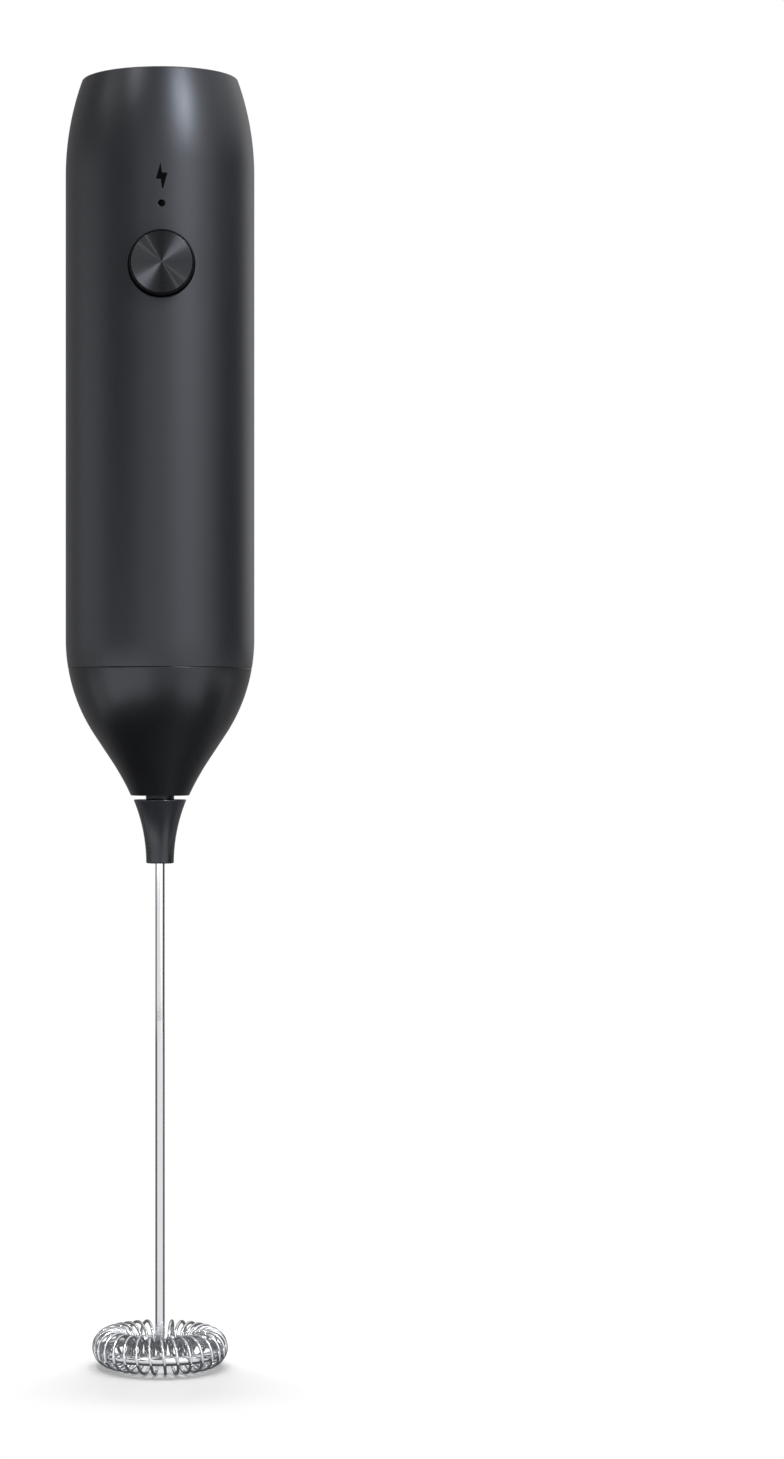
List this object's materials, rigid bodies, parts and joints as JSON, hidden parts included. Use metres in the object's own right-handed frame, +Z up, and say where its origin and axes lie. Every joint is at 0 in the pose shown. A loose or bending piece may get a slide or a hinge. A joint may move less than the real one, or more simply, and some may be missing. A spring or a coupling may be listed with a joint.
{
  "type": "milk frother",
  "caption": "Rechargeable hand-held milk frother with a push button, a tapered nose and a pull-off whisk: a toroidal wire coil on a formed wire shaft.",
  "frame": {"origin": "centre of the grip, on the spin axis, 36 mm above the parting line", "axes": "+Z up the handle towards the end cap, with the whisk lowest; -Y out of the button's face; +X to the right as the button is looked at"},
  "size_m": [0.034, 0.0365, 0.2315],
  "materials": {
    "soft_touch_graphite": "satin soft-touch paint",
    "dark_plastic": "fine matt texture",
    "nose_plastic": "satin",
    "seal_rubber": "matt",
    "oil_seal_rubber": "matt",
    "frame_nylon": "moulded",
    "zinc_screw": "zinc plated",
    "board_laminate": "solder mask",
    "chip_epoxy": "moulded",
    "socket_steel": "drawn",
    "led_resin": "clear resin",
    "smoked_lens": "polished",
    "plunger_plastic": "moulded",
    "button_gloss": "polished",
    "spun_aluminium": "spun in fine rings",
    "cell_wrap": "shrink sleeve over a steel can",
    "nickel_strip": "rolled",
    "foam": "foam",
    "lead_black": "insulated",
    "lead_red": "insulated",
    "motor_steel": "plated",
    "ferrite": "sintered",
    "bell_nylon": "moulded",
    "copper": "enamelled or turned",
    "brass_strip": "stamped",
    "bronze": "sintered",
    "ground_steel": "ground",
    "core_steel": "stacked sheets",
    "hub_plastic": "moulded",
    "sleeve_plastic": "satin",
    "polished_wire": "polished stainless wire"
  },
  "bodies": {
    "handle": {"handle_shell": "soft_touch_graphite", "end_cap": "dark_plastic", "nose_cone": "nose_plastic", "nose_seal_ring": "seal_rubber", "inner_frame": "frame_nylon", "frame_screws": "zinc_screw", "board_screws": "zinc_screw", "circuit_board": "board_laminate", "board_components": "chip_epoxy", "usb_shell": "socket_steel", "usb_tongue": "chip_epoxy", "status_led": "led_resin", "light_pipe": "smoked_lens", "switch_body": "chip_epoxy", "battery_cell": "cell_wrap", "battery_tabs": "nickel_strip", "battery_pad": "foam", "battery_lead": "lead_black", "motor_can": "motor_steel", "motor_magnets": "ferrite", "motor_end_bell": "bell_nylon", "motor_brushes": "copper", "motor_terminals": "brass_strip", "motor_leads": "lead_red", "front_bushing": "bronze", "rear_bushing": "bronze", "motor_gasket": "seal_rubber", "shaft_seal": "oil_seal_rubber"},
    "button": {"button_cap": "button_gloss", "button_disc": "spun_aluminium", "switch_plunger": "plunger_plastic"},
    "rotor": {"motor_shaft": "ground_steel", "armature_core": "core_steel", "armature_windings": "copper", "commutator": "copper", "drive_hub": "hub_plastic"},
    "whisk": {"whisk_sleeve": "sleeve_plastic", "whisk_shaft": "polished_wire", "whisk_coil": "polished_wire"}
  },
  "joints": [
    {"name": "button_press", "type": "slide", "parent": "handle", "child": "button", "axis": [0, 1, 0], "range_m": [0, 0.0005], "stiffness_N_per_m": 2000, "springref_m": -0.0002},
    {"name": "whisk_spin", "type": "hinge", "parent": "handle", "child": "rotor", "pos_m": [0, 0, -0.05], "axis": [0, 0, 1], "continuous": true},
    {"name": "whisk_pull_off", "type": "slide", "parent": "rotor", "child": "whisk", "axis": [0, 0, -1], "range_m": [0, 0.014]}
  ]
}
